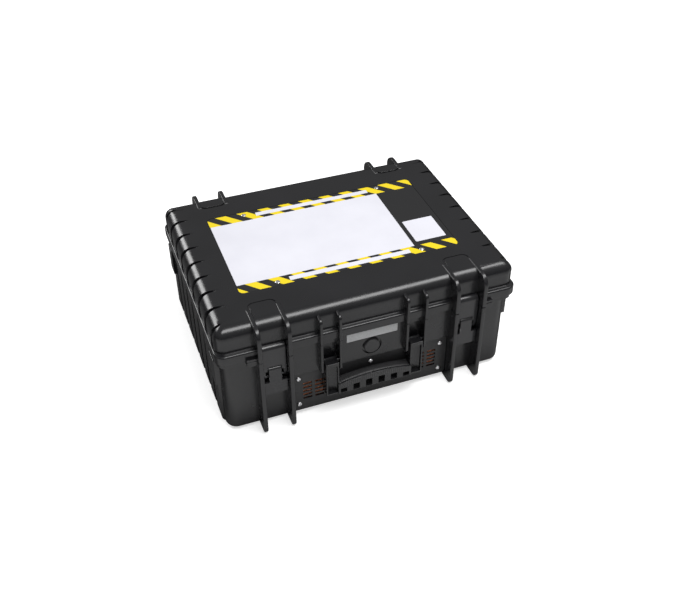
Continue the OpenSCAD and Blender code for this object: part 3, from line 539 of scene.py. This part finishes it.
latch_black = moulded("latch_black", (0.013, 0.013, 0.0145), (0.018, 0.018, 0.020), 0.22)
face_y, back_y = -198, -194.5
pin_y, pin_z, pin_r = -190.0, 126.0, 4.6
hook_y, hook_z, hook_r = -189.5, 108.5, 3.6
tongue = ([(face_y, 100.5), (face_y, pin_z)] + arc(face_y + pin_r, pin_z, pin_r, 180, 90, 5)
          + arc(pin_y, pin_z, pin_r, 90, -90, 10)
          + [(back_y, pin_z - pin_r), (back_y, hook_z + hook_r)]
          + arc(hook_y, hook_z, hook_r, 90, -90, 8)
          + [(back_y, hook_z - hook_r), (back_y, 100.5)])
flange = rectangle(-197, -189.5, 84, 97.5)
plate = ([(face_y, 77)] + arc(-196.25, 77.75, 1.75, 180, 360, 8)
         + [(back_y, 101.5), (face_y, 101.5)])
hook = ([(-196, 132), (-193, 132), (-193, 162.8), (-187.5, 162.8), (-187.5, 173)]
        + arc(-188, 165, 8, 90, 180, 10))
hook_leg = [(-194.6, 116.5), (-194.6, 124.5), (-192.7, 124.5), (-192.7, 116.5),
            (-187.1, 111.1)] + arc(hook_y, hook_z, hook_r, 10, -126, 8)
for side, c in (("left", -165.0), ("right", 165.0)):
    lever = [prism(tongue, "x", c - 10.5, c + 10.5, 1.1),
             prism(plate, "x", c - 19.6, c + 19.6, 1.1)]
    lever += slabs(flange, (c - 18.5, c + 18.5), 1.5, 0.4)
    bores = [rod("x", pin_y, pin_z, pin_bore, c - 30, c + 30),
             rod("x", hook_y, hook_z, 1.82, c - 30, c + 30, 18)]
    lever = cut(joined("lever", lever), joined("bores", bores))
    piece("lever_" + side, lever, latch_black, "lever_" + side, ["latch_lever_" + side])
    parts = [prism(hook, "x", c - 19.5, c + 19.5, 1.0)]
    for s in (-1, 1):
        x0, x1 = sorted((c + s * 11.3, c + s * 19.5))
        parts.append(prism(rectangle(-196, -193, 123.5, 133), "x", x0, x1, 0.6))
        x0, x1 = sorted((c + s * 14.7, c + s * 19.7))
        parts.append(prism(hook_leg, "x", x0, x1, 0.3))
    bore = rod("x", hook_y, hook_z, 1.86, c - 30, c + 30, 18)
    piece("hook_" + side, cut(joined("hook", parts), bore), latch_black, "hook_" + side,
          ["latch_hook_" + side])

# ---------------------------------------------------------------- handle
# The handle is a stiff moulded nylon frame. Two channelled arms swing on steel pins through
# the small front fins, and a front bar with six windows and an arched top edge joins them.

grip_low = box_mm("handle_frame")[0].z
pivot_y, pivot_z = -193, 110.0
arm_side = ([(-206, grip_low), (-206, pivot_z + 4.5), (-195, pivot_z + 4.5)]
            + arc(pivot_y, pivot_z, 7, 70, -40, 8) + [(-188, grip_low)])
channel_x = (64.5, 81.5)
channel = [(min(max(x, channel_x[0]), channel_x[1]), y) for x, y in arc(73, -215, 17, 30, 150, 12)]
channel += [(channel_x[0], -216), (channel_x[1], -216)]
arm = cut(prism(arm_side, "x", 62, 84, 0.9), joined("hollow", [
    prism(channel, "z", grip_low + 3, grip_low + 61),
    rod("x", pivot_y, pivot_z, pin_bore, 55, 90)]))

bar_half, bar_y, rise = 64, -208.5, 7
radius = (62 ** 2 + rise ** 2) / (2 * rise)


def arched(x, crest):
    """The height at x of the bar's flat arc, with its crest in the middle."""
    return crest - radius + math.sqrt(radius ** 2 - x ** 2)


top = [(x, arched(x, grip_low + 29)) for x in (bar_half - 2 * bar_half * k / 24 for k in range(25))]
front = prism([(-bar_half, grip_low), (bar_half, grip_low)] + top, "y", bar_y, -205, 0.6)
windows = []
for k in (-2.5, -1.5, -0.5, 0.5, 1.5, 2.5):
    x, height = k * 22, 14.5 - 6.5 * (k / 2.5) ** 2
    window = rectangle(x - 5.7, x + 5.7, grip_low + 2.4, grip_low + 3 + height, 1.4)
    windows.append(prism(window, "y", -212, -200))
front = cut(front, joined("windows", windows))
ledge = prism(rectangle(-63, 63, bar_y, -188), "z", grip_low, grip_low + 1.8, 0.6)
handle_black = moulded("handle_black", (0.008, 0.008, 0.009), (0.011, 0.011, 0.0125), 0.28)
piece("handle", joined("handle", [joined("arms", [arm], True), front, ledge]), handle_black,
      "handle", ["handle_frame"])

# ---------------------------------------------------------------- grip
# A soft rubber bar with fine upright ridges is moulded onto the frame behind the windows. The
# same rubber comes through as a ribbed band on the front bar, over the windows.

class Graph:
    """A Geometry Nodes tree with named inputs."""

    def __init__(self, name, inputs):
        self.tree = bpy.data.node_groups.new(name, "GeometryNodeTree")
        self.keys = {}
        for title, kind in [("Geometry", "Geometry"), *inputs]:
            item = self.tree.interface.new_socket(title, in_out="INPUT",
                                                  socket_type="NodeSocket" + kind)
            self.keys[title] = item.identifier
        self.tree.interface.new_socket("Geometry", in_out="OUTPUT",
                                       socket_type="NodeSocketGeometry")
        self.given = self.tree.nodes.new("NodeGroupInput").outputs

    def node(self, kind, settings=None, inputs=None, output=0):
        n = self.tree.nodes.new(kind)
        for key, value in (settings or {}).items():
            setattr(n, key, value)
        for key, value in (inputs or {}).items():
            if isinstance(value, bpy.types.NodeSocket):
                self.tree.links.new(value, n.inputs[key])
            else:
                n.inputs[key].default_value = value
        return n.outputs[output] if len(n.outputs) else None

    def grown(self, mesh, **values):
        """The tree's result on a mesh, as a plain mesh."""
        seed = bpy.data.objects.new("seed", mesh)
        bpy.context.collection.objects.link(seed)
        modifier = seed.modifiers.new("grow", "NODES")
        modifier.node_group = self.tree
        for title, value in values.items():
            modifier[self.keys[title]] = value
        depsgraph = bpy.context.evaluated_depsgraph_get()
        result = bpy.data.meshes.new_from_object(seed.evaluated_get(depsgraph))
        seed.modifiers.remove(modifier)
        bpy.data.objects.remove(seed)
        return result


planting = Graph("planting", [("Unit", "Object"), ("Size", "Float"), ("Turn", "Float"),
                              ("Axis", "Vector"), ("Finish", "Material")])
unit = planting.node("GeometryNodeObjectInfo", {}, {"Object": planting.given["Unit"]}, "Geometry")
turn = planting.node("FunctionNodeRandomValue", {"data_type": "FLOAT"}, {
    2: 0.0, 3: planting.given["Turn"], "Seed": 7}, 1)
turn = planting.node("ShaderNodeVectorMath", {"operation": "SCALE"}, {
    0: planting.given["Axis"], "Scale": turn})
stretch = planting.node("GeometryNodeInputNamedAttribute", {"data_type": "FLOAT_VECTOR"},
                        {"Name": "stretch"})
stretch = planting.node("ShaderNodeVectorMath", {"operation": "SCALE"}, {
    0: stretch, "Scale": planting.given["Size"]})
stand = planting.node("GeometryNodeInstanceOnPoints", {}, {
    "Points": planting.given["Geometry"], "Instance": unit, "Rotation": turn, "Scale": stretch})
real = planting.node("GeometryNodeRealizeInstances", {}, {"Geometry": stand})
done = planting.node("GeometryNodeSetMaterial", {}, {
    "Geometry": real, "Material": planting.given["Finish"]})
planting.node("NodeGroupOutput", {}, {0: done})


def planted(unit, spots, material, axis=(0, 0, 1), turn=0.0, stretches=None):
    """One unit mesh on each spot (millimetres), stretched and turned about the axis."""
    points = bpy.data.meshes.new("spots")
    points.from_pydata([[v / 1000 for v in spot] for spot in spots], [], [])
    attribute = points.attributes.new("stretch", "FLOAT_VECTOR", "POINT")
    for k in range(len(spots)):
        attribute.data[k].vector = stretches[k] if stretches else (1, 1, 1)
    holder = bpy.data.objects.new("unit", unit)
    bpy.context.collection.objects.link(holder)
    mesh = planting.grown(points, Unit=holder, Size=1.0, Turn=turn, Axis=axis, Finish=material)
    bpy.data.objects.remove(holder)
    return mesh


rubber = moulded("grip_rubber", (0.028, 0.028, 0.029), (0.040, 0.040, 0.042), 0.42, 0.00003)


def upright(unit, tall, y, spans):
    """Rubber ribs: the unit, which is tall mm high, stretched over each (x, low, high)."""
    places = [(x, y, (z0 + z1) / 2) for x, z0, z1 in spans]
    stretches = [(1.0, 1.0, (z1 - z0) / tall) for _, z0, z1 in spans]
    return planted(unit, places, rubber, stretches=stretches)


def grip_top(x):
    """The height of the grip at x, a little under the bar's edge."""
    return arched(x, grip_low + 28.6)


core = []
for k in range(33):
    x = -61.5 + 123 * k / 32
    z0, z1 = grip_low + 17.2, grip_top(x) - 1.1
    outline = rectangle(-204.0, -189.2, z0, z1, min(4.8, (z1 - grip_low - 17) * 0.45))
    core.append([(x / 1000, y / 1000, z / 1000) for y, z in outline])
ridge = prism(rectangle(-8.4, 8.4, -6, 6, 4.4), "x", -0.95, 0.95, 0.5, 2)
spans = [(x, grip_low + 16.6, grip_top(x)) for x in ((k - 17) * 3.55 for k in range(35))]
ridges = upright(ridge, 12, -196.55, spans)
strip = prism(rectangle(-0.9, 0.9, -5, 5, 0.8), "y", -208.95, -208.0, 0.35, 2)
spans = [(x, grip_low + 19.2 - 6.5 * (x / 55) ** 2, grip_top(x) + 0.1)
         for x in (k * 3.7 for k in range(-16, 17))]
strips = upright(strip, 10, 0, spans)
piece("grip", joined("grip", [loft("core", core), ridges, strips]), rubber, "handle",
      ["handle_grip"], 50)

# ---------------------------------------------------------------- valve
# A pressure valve is screwed through the front wall: a moulded knob and body with a nut behind
# the wall, and a white porous membrane in it that lets air through but no water.

def dress(material, *nodes):
    """Gives a finish to pieces whose shape is kept."""
    for node in nodes:
        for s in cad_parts[node].material_slots:
            s.link = "OBJECT"
            s.material = material


dress(moulded("valve_black", (0.016, 0.016, 0.017), (0.022, 0.022, 0.023), 0.45),
      "valve_knob", "valve_body", "valve_nut")
film = Shader("membrane_white", 0.6)
film.set("Base Color", film.mix(film.noise(800.0), (0.7, 0.7, 0.68), (0.85, 0.85, 0.83)))
dress(film.material, "valve_membrane")

# ---------------------------------------------------------------- seals
# The lid's seal is a rubber ring pressed into its groove. The valve's ring and the gasket
# behind the vent plate are cut from the same dull rubber, and the valve and plate clamp them.

dress(moulded("seal_black", (0.011, 0.011, 0.012), (0.017, 0.017, 0.018), 0.75, 0.00003),
      "lid_seal", "valve_seal", "plate_gasket")

# ---------------------------------------------------------------- vent plate
# The vent plate is sheet metal with two groups of punched slots. It is powder coated in black
# with a fine texture and screwed to the base's front wall.

powder = Shader("plate_paint", 0.45)
powder.mottle(powder.noise(30.0), (0.011, 0.011, 0.012), (0.015, 0.015, 0.016))
powder.bump(powder.noise(900.0, 2.0), 0.00003)
dress(powder.material, "vent_plate")

# ---------------------------------------------------------------- screws
# Pan head machine screws with a cross recess, in bright zinc plated steel, go through panel
# and lid and through the vent plate. Each has a nut inside the case.

def metal(name, dark, light, roughness, scale=(300, 300, 300)):
    """Bare metal with streaks, drawn out along the axis whose scale is low."""
    m = Shader(name, roughness, Metallic=1.0)
    streaks = m.noise(4.0, 4.0, m.scaled(scale))
    m.mottle(streaks, dark, light)
    m.set("Roughness", m.spread(streaks, roughness - 0.06, roughness + 0.1))
    m.bump(streaks, 0.00002)
    return m.material


def turned(profile, steps=28):
    """A solid turned about z, from (radius, height) pairs, with flat ends."""
    angles = [2 * math.pi * k / steps for k in range(steps)]
    return loft("turned", [[(r * math.cos(a) / 1000, r * math.sin(a) / 1000, h / 1000)
                            for a in angles] for r, h in profile])


def screw(head_r, head_h):
    """A screw in 4 mm thread, 10.5 mm long, with its head's underside at zero."""
    pitch, crest_r, root_r = 0.7, 1.95, 1.6
    threads = []
    for k in range(15):
        threads += [(crest_r, -pitch * k), (root_r, -pitch * k - pitch / 2)]
    dome = [(head_r * math.cos(a), head_h * (0.35 + 0.65 * math.sin(a)))
            for a in (math.radians(v) for v in (0, 20, 40, 60, 75))]
    body = turned(threads[::-1] + [(head_r * 0.96, 0)] + dome + [(0.5, head_h)])
    slots = [prism(rectangle(-u, u, -v, v), "z", head_h * 0.3, head_h + 1)
             for u, v in ((2.1, 0.42), (0.42, 2.1))]
    return cut(body, cut(*slots, "UNION"))


zinc = metal("zinc", (0.78, 0.78, 0.8), (0.92, 0.92, 0.93), 0.24)
dress(zinc, "plate_nuts", "lid_nuts", "arrestor_screws")
lid_spots = [(x, y, 214.75) for x in (-125, 125) for y in (-96.3, 105.7)]
piece("lid_fixings", planted(screw(4.0, 1.1), lid_spots, zinc, turn=3.0), zinc, "lid",
      ["lid_screws"])
plate_spots = [(x, -186.0, z) for x, z in ((-124.9, 81.4), (124.9, 81.4), (0, 81.4),
                                           (-124.9, 24.8), (124.9, 24.8))]
plate_screw = screw(4.0, 2.5)
plate_screw.transform(Matrix.Rotation(math.pi / 2, 4, "X"))
piece("plate_fixings", planted(plate_screw, plate_spots, zinc, (0, 1, 0), 3.0), zinc, "base",
      ["plate_screws"])

# ---------------------------------------------------------------- pins
# The hinges, latches and handle turn on plain stainless steel pins, cut from drawn rod and held
# by the fins. Their steel colour is painted dark, as painted shade for the narrow gaps they lie in.

dress(metal("steel", (0.10, 0.10, 0.105), (0.16, 0.16, 0.165), 0.35, (40, 600, 600)),
      "hinge_pins", "latch_pivot_pins", "handle_pins", "hook_pin_left", "hook_pin_right")

# ---------------------------------------------------------------- flame arrestors
# Behind each group of slots lies a pack of copper wire mesh, crimped and pressed flat. A frame
# of plain aluminium sheet, screwed to the wall from inside, holds it there.

dress(metal("aluminium", (0.6, 0.6, 0.62), (0.7, 0.7, 0.71), 0.38, (30, 500, 500)),
      "arrestor_frames")
copper = Shader("copper_mesh", 0.35, Metallic=0.9)
copper.mottle(copper.noise(160.0, 4.0), (0.28, 0.09, 0.04), (0.8, 0.36, 0.2))
copper.bump(copper.noise(1500.0, 2.0), 0.00004)
wire_pitch, wire_r, wave_high = 1.5, 0.22, 0.3
step, quarter_turns = 0.5, (0, 1.571, 3.142, 4.712)


def crimped(length, across):
    """One crimped wire along x or z, a four sided tube."""
    rings = []
    for k in range(int(length / step) + 1):
        u = k * step - length / 2
        wave = wave_high * math.sin(math.pi * u / wire_pitch)
        ring = [(u, wave + wire_r * math.cos(a), wire_r * math.sin(a))
                for a in quarter_turns]
        rings.append([(x / 1000, y / 1000, z / 1000) if across else (z / 1000, -y / 1000, x / 1000)
                      for x, y, z in ring])
    return loft("wire", rings)


mesh_y, mesh_z = -181.3, 52
for side, c in (("left", -99.75), ("right", 99.75)):
    spots = [(c, mesh_y, 33 + wire_pitch * k) for k in range(26)]
    rows = planted(crimped(36.5, True), spots, copper.material)
    spots = [(c - 18 + wire_pitch * k, mesh_y, mesh_z) for k in range(25)]
    columns = planted(crimped(38.5, False), spots, copper.material)
    pack = prism(rectangle(c - 18.7, c + 18.7, 32.2, 71.8, 1), "y", -180.7, -174.1, 0.4)
    piece("mesh_" + side, joined("mesh", [pack, rows, columns]), copper.material, "base",
          ["arrestor_" + side], 45)

# ---------------------------------------------------------------- badge
# The name badge over the valve is a blank strip of thin grey plastic with a fine metallic
# grain, glued to the belt.

badge = Shader("badge_grey", 0.42, Metallic=0.3)
badge.set("Base Color", badge.mix(badge.ramp(badge.noise(500.0), 0.35, 0.65, 0.0, 1.0),
                                  (0.36, 0.365, 0.37), (0.43, 0.435, 0.44)))
badge.bump(badge.noise(900.0, 2.0), 0.00006)
dress(badge.material, "name_badge")

# ---------------------------------------------------------------- label
# A printed polyester sheet lies in the lid's recess, held by the lid's four screws: slanted
# yellow and black bands along its front and rear edges and a black field at its right. The
# blank white panel, strips and sticker are stuck on it.

low, high = box_mm("label_sheet")
front_band, rear_band = 21, 26  # how wide the banded edges are
band_pitch, lean, start = 38, 0.951, 901.8  # along x, then along y, from far to the left
ink_black, ink_yellow = (0.012, 0.012, 0.013), (0.80, 0.62, 0.012)
sheet = Shader("label_bands", 0.38)
x, y = (sheet.part(sheet.place(), axis) * 1000 for axis in "XY")
yellow = ((x + y * lean + start) / band_pitch).fraction() < 0.5
field = (y > low.y + front_band) * (y < high.y - rear_band)
sheet.set("Base Color", sheet.mix(field, sheet.mix(yellow, ink_black, ink_yellow), ink_black))
sheet.set("Roughness", sheet.spread(sheet.noise(45.0, 4.0), 0.3, 0.42))
sheet.bump(sheet.noise(1500.0, 2.0), 0.00002)
dress(sheet.material, "label_sheet")

paper = Shader("label_blank", 0.42)
paper.mottle(paper.noise(14.0, 5.0), (0.68, 0.68, 0.74), (0.73, 0.73, 0.79))
paper.bump(paper.noise(1200.0), 0.00003)
dress(paper.material, "label_panel", "label_sticker")
low, high = box_mm("label_strips")
strip_half, strip_wide = 104.5, 10
strips = [prism(rectangle(-strip_half, strip_half, y, y + strip_wide, 0.6), "z", low.z,
                high.z + 0.05) for y in (low.y, high.y - strip_wide)]
piece("band_strips", joined("bands", strips), paper.material, "lid", ["label_strips"])

# ---------------------------------------------------------------- boards
# Pressed mineral fibre board, which resists fire, lines the case. One board stands in the base,
# and the lid's screws hold the other under the lid.

board = Shader("liner_board", 0.85)
fibres = board.noise(2.0, 6.0, board.scaled((60, 420, 420)))
board.mottle(fibres, (0.44, 0.42, 0.37), (0.60, 0.58, 0.52))
board.bump(fibres, 0.0002)
dress(board.material, "lid_liner", "base_liner")

# ---------------------------------------------------------------- foam
# Dark grey foam holds the battery: a floor block, a ring round it and a block in the lid. Each
# is cut from open celled sheet to fit its place, and is a little crowned where nothing lies on it.

foam = Shader("foam_charcoal", 0.95)
cells = foam.node("ShaderNodeTexVoronoi", {}, {"Vector": foam.place(), "Scale": 700.0})
foam.set("Base Color", foam.mix(foam.ramp(cells, 0.0, 0.7, 0.0, 1.0), (0.012, 0.012, 0.013),
                                (0.05, 0.05, 0.053)))
foam.bump(cells, 0.0006)


def section(across, tall, crown):
    """Half the outline of a foam block's section: (share in from the side, height)."""
    soft = 5.0  # the radius of its edges

    def edge(*angles):
        turns = [math.radians(v) for v in angles]
        return [(soft * (1 - math.cos(a)), soft * (1 - math.sin(a))) for a in turns]

    side = [(0, soft), (0, tall * 0.35), (0, tall * 0.65), (0, tall - soft)]
    top = [(soft + (across - soft) * t, tall + crown * math.sin(math.pi * t / 2))
           for t in (0.12, 0.25, 0.4, 0.55, 0.7, 0.85, 1.0)]
    return edge(90, 60, 30) + side + [(d, tall - h) for d, h in edge(30, 60, 90)] + top


def rounded(half_x, half_y, middle, r, z, pull):
    """A ring of points round a rectangle whose sides pull in a little between its corners."""
    r = max(min(r, half_x - 1, half_y - 1), 0.5)
    ring = []
    for quarter, (sx, sy) in enumerate(((1, 1), (-1, 1), (-1, -1), (1, -1))):
        turn = 90 * quarter
        ring += arc(sx * (half_x - r), sy * (half_y - r), r, turn, turn + 90, 5)
        for t in (0.2, 0.4, 0.6, 0.8):
            dip = pull * math.sin(math.pi * t)
            if quarter % 2:
                ring.append((sx * (half_x - dip), sy * (half_y - r) * (1 - 2 * t)))
            else:
                ring.append((sx * (half_x - r) * (1 - 2 * t), sy * (half_y - dip)))
    return [((x + middle[0]) / 1000, (y + middle[1]) / 1000, z / 1000) for x, y in ring]


def cushion(low, high, r, crown, hole=None):
    """A crowned foam block in a box, with soft edges and sides that pull in; a hole leaves a
    band of this width all round."""
    half_x, half_y = (high.x - low.x) / 2, (high.y - low.y) / 2
    middle = ((low.x + high.x) / 2, (low.y + high.y) / 2)
    reach = hole / 2 if hole else half_y - 2
    outline = section(reach, high.z - low.z - crown, crown)
    if hole:
        outline += [(2 * reach - d, h) for d, h in outline[::-1][1:]]
    rings = []
    for d, h in outline:
        pull = 1.6 * max(0.0, 1 - d / 20)
        rings.append(rounded(half_x - d, half_y - d, middle, max(r - d, 4.0), low.z + h, pull))
    return loft("foam", rings, wrap=bool(hole))


for name, node, on, r, crown, hole, fill in (
        ("floor_foam", "foam_floor", "base", 19, 1.5, None, 0.9),
        ("wall_foam", "foam_surround", "base", 19, 2.0, 25.0, 0.9),
        ("top_foam", "lid_foam", "lid", 18, 3.0, None, 0.85)):
    low, high = box_mm(node)
    mesh = cushion(low, high, r, crown, hole)
    if on == "lid":  # its crown faces down
        mesh.transform(Matrix.Diagonal((1, 1, -1, 1)))
        mesh.transform(Matrix.Translation((0, 0, (low.z + high.z) / 1000)))
        mesh = clean(mesh)
    piece(name, mesh, foam.material, on, [node], 50)

# ---------------------------------------------------------------- studio
# A white floor that fades into a white backdrop, a wide softbox overhead, a low one behind the
# left side, and the camera, in front of the left corner and above it.

floor_mesh = bpy.data.meshes.new("floor")
floor_mesh.from_pydata([(-9, -9, 0), (9, -9, 0), (9, 9, 0), (-9, 9, 0)], [], [(0, 1, 2, 3)])
floor = bpy.data.objects.new("floor", floor_mesh)
bpy.context.collection.objects.link(floor)
white = Shader("floor_white", 0.7, Specular_IOR_Level=0.0)
camera_ray = white.node("ShaderNodeLightPath", output="Is Camera Ray")
glossy_ray = white.node("ShaderNodeLightPath", output="Is Glossy Ray")
# painted reflection: in reflections only, the floor from the case's front backwards is dark, so the
# case's sides show a painted dark reflection; all other rays see the floor white
painted_reflection_mask = glossy_ray * white.ramp(white.part(white.place(), "Y"), -0.24, -0.16, 0.0, 0.86)
white.set("Base Color", white.mix(painted_reflection_mask, (0.82, 0.82, 0.82), (0.02, 0.02, 0.02)))
white.set("Emission Color", (1.0, 1.0, 1.0))
far = white.node("ShaderNodeVectorMath", {"operation": "LENGTH"}, {0: white.place()}, 1)
white.set("Emission Strength", camera_ray * white.ramp(far, 0.9, 2.6, 0.58, 0.95))
floor_mesh.materials.append(white.material)

azimuth, elevation, roll = (math.radians(v) for v in (-19.80, 39.22, -0.57))
back = Vector((math.sin(azimuth) * math.cos(elevation),
               -math.cos(azimuth) * math.cos(elevation), math.sin(elevation)))
right = (-back).cross(Vector((0, 0, 1))).normalized()
up = right.cross(-back)
across = math.cos(roll) * right + math.sin(roll) * up
upright_axis = -math.sin(roll) * right + math.cos(roll) * up
lens = bpy.data.cameras.new("camera")
lens.sensor_width = 36.0
lens.lens = 48.07059
camera = bpy.data.objects.new("camera", lens)
stand_at = (-0.4169, -1.1983, 1.1033)
rows = [(*row, p) for row, p in zip(zip(across, upright_axis, back), stand_at)]
camera.matrix_world = Matrix([*rows, (0, 0, 0, 1)])
bpy.context.collection.objects.link(camera)

scene = bpy.context.scene
scene.camera = camera
scene.view_settings.view_transform = "Standard"


class Sky(Shader):
    """The world's shader, white, with a strength that can follow the direction."""

    def __init__(self, name):
        self.begin(bpy.data.worlds.new(name), "Background")
        self.set("Color", (1.0, 1.0, 1.0))


sky = Sky("world")
scene.world = sky.holder
rise = sky.part(sky.node("ShaderNodeTexCoord", output="Generated"), "Z")
dome = sky.ramp(rise, 0.05, 0.6, 0.1, 0.36)  # the light that falls on the case
seen = sky.node("ShaderNodeLightPath", output="Is Camera Ray")
sky.set("Strength", sky.ramp(seen, 0.0, 1.0, dome, 1.0))

for name, spot, target, size, power in (
        ("overhead", (0.4, -0.55, 1.75), (0.0, 0.0, 0.1), (1.7, 0.6), 29),
        ("left", (-1.15, 1.5, 1.15), (0.0, 0.0, 0.15), (0.9, 0.8), 20)):
    data = bpy.data.lights.new(name, "AREA")
    data.shape = "RECTANGLE"
    data.size, data.size_y = size
    data.energy = power
    lamp = bpy.data.objects.new(name, data)
    turn = (Vector(spot) - Vector(target)).to_track_quat("Z", "Y").to_matrix().to_4x4()
    lamp.matrix_world = Matrix.Translation(spot) @ turn
    bpy.context.collection.objects.link(lamp)
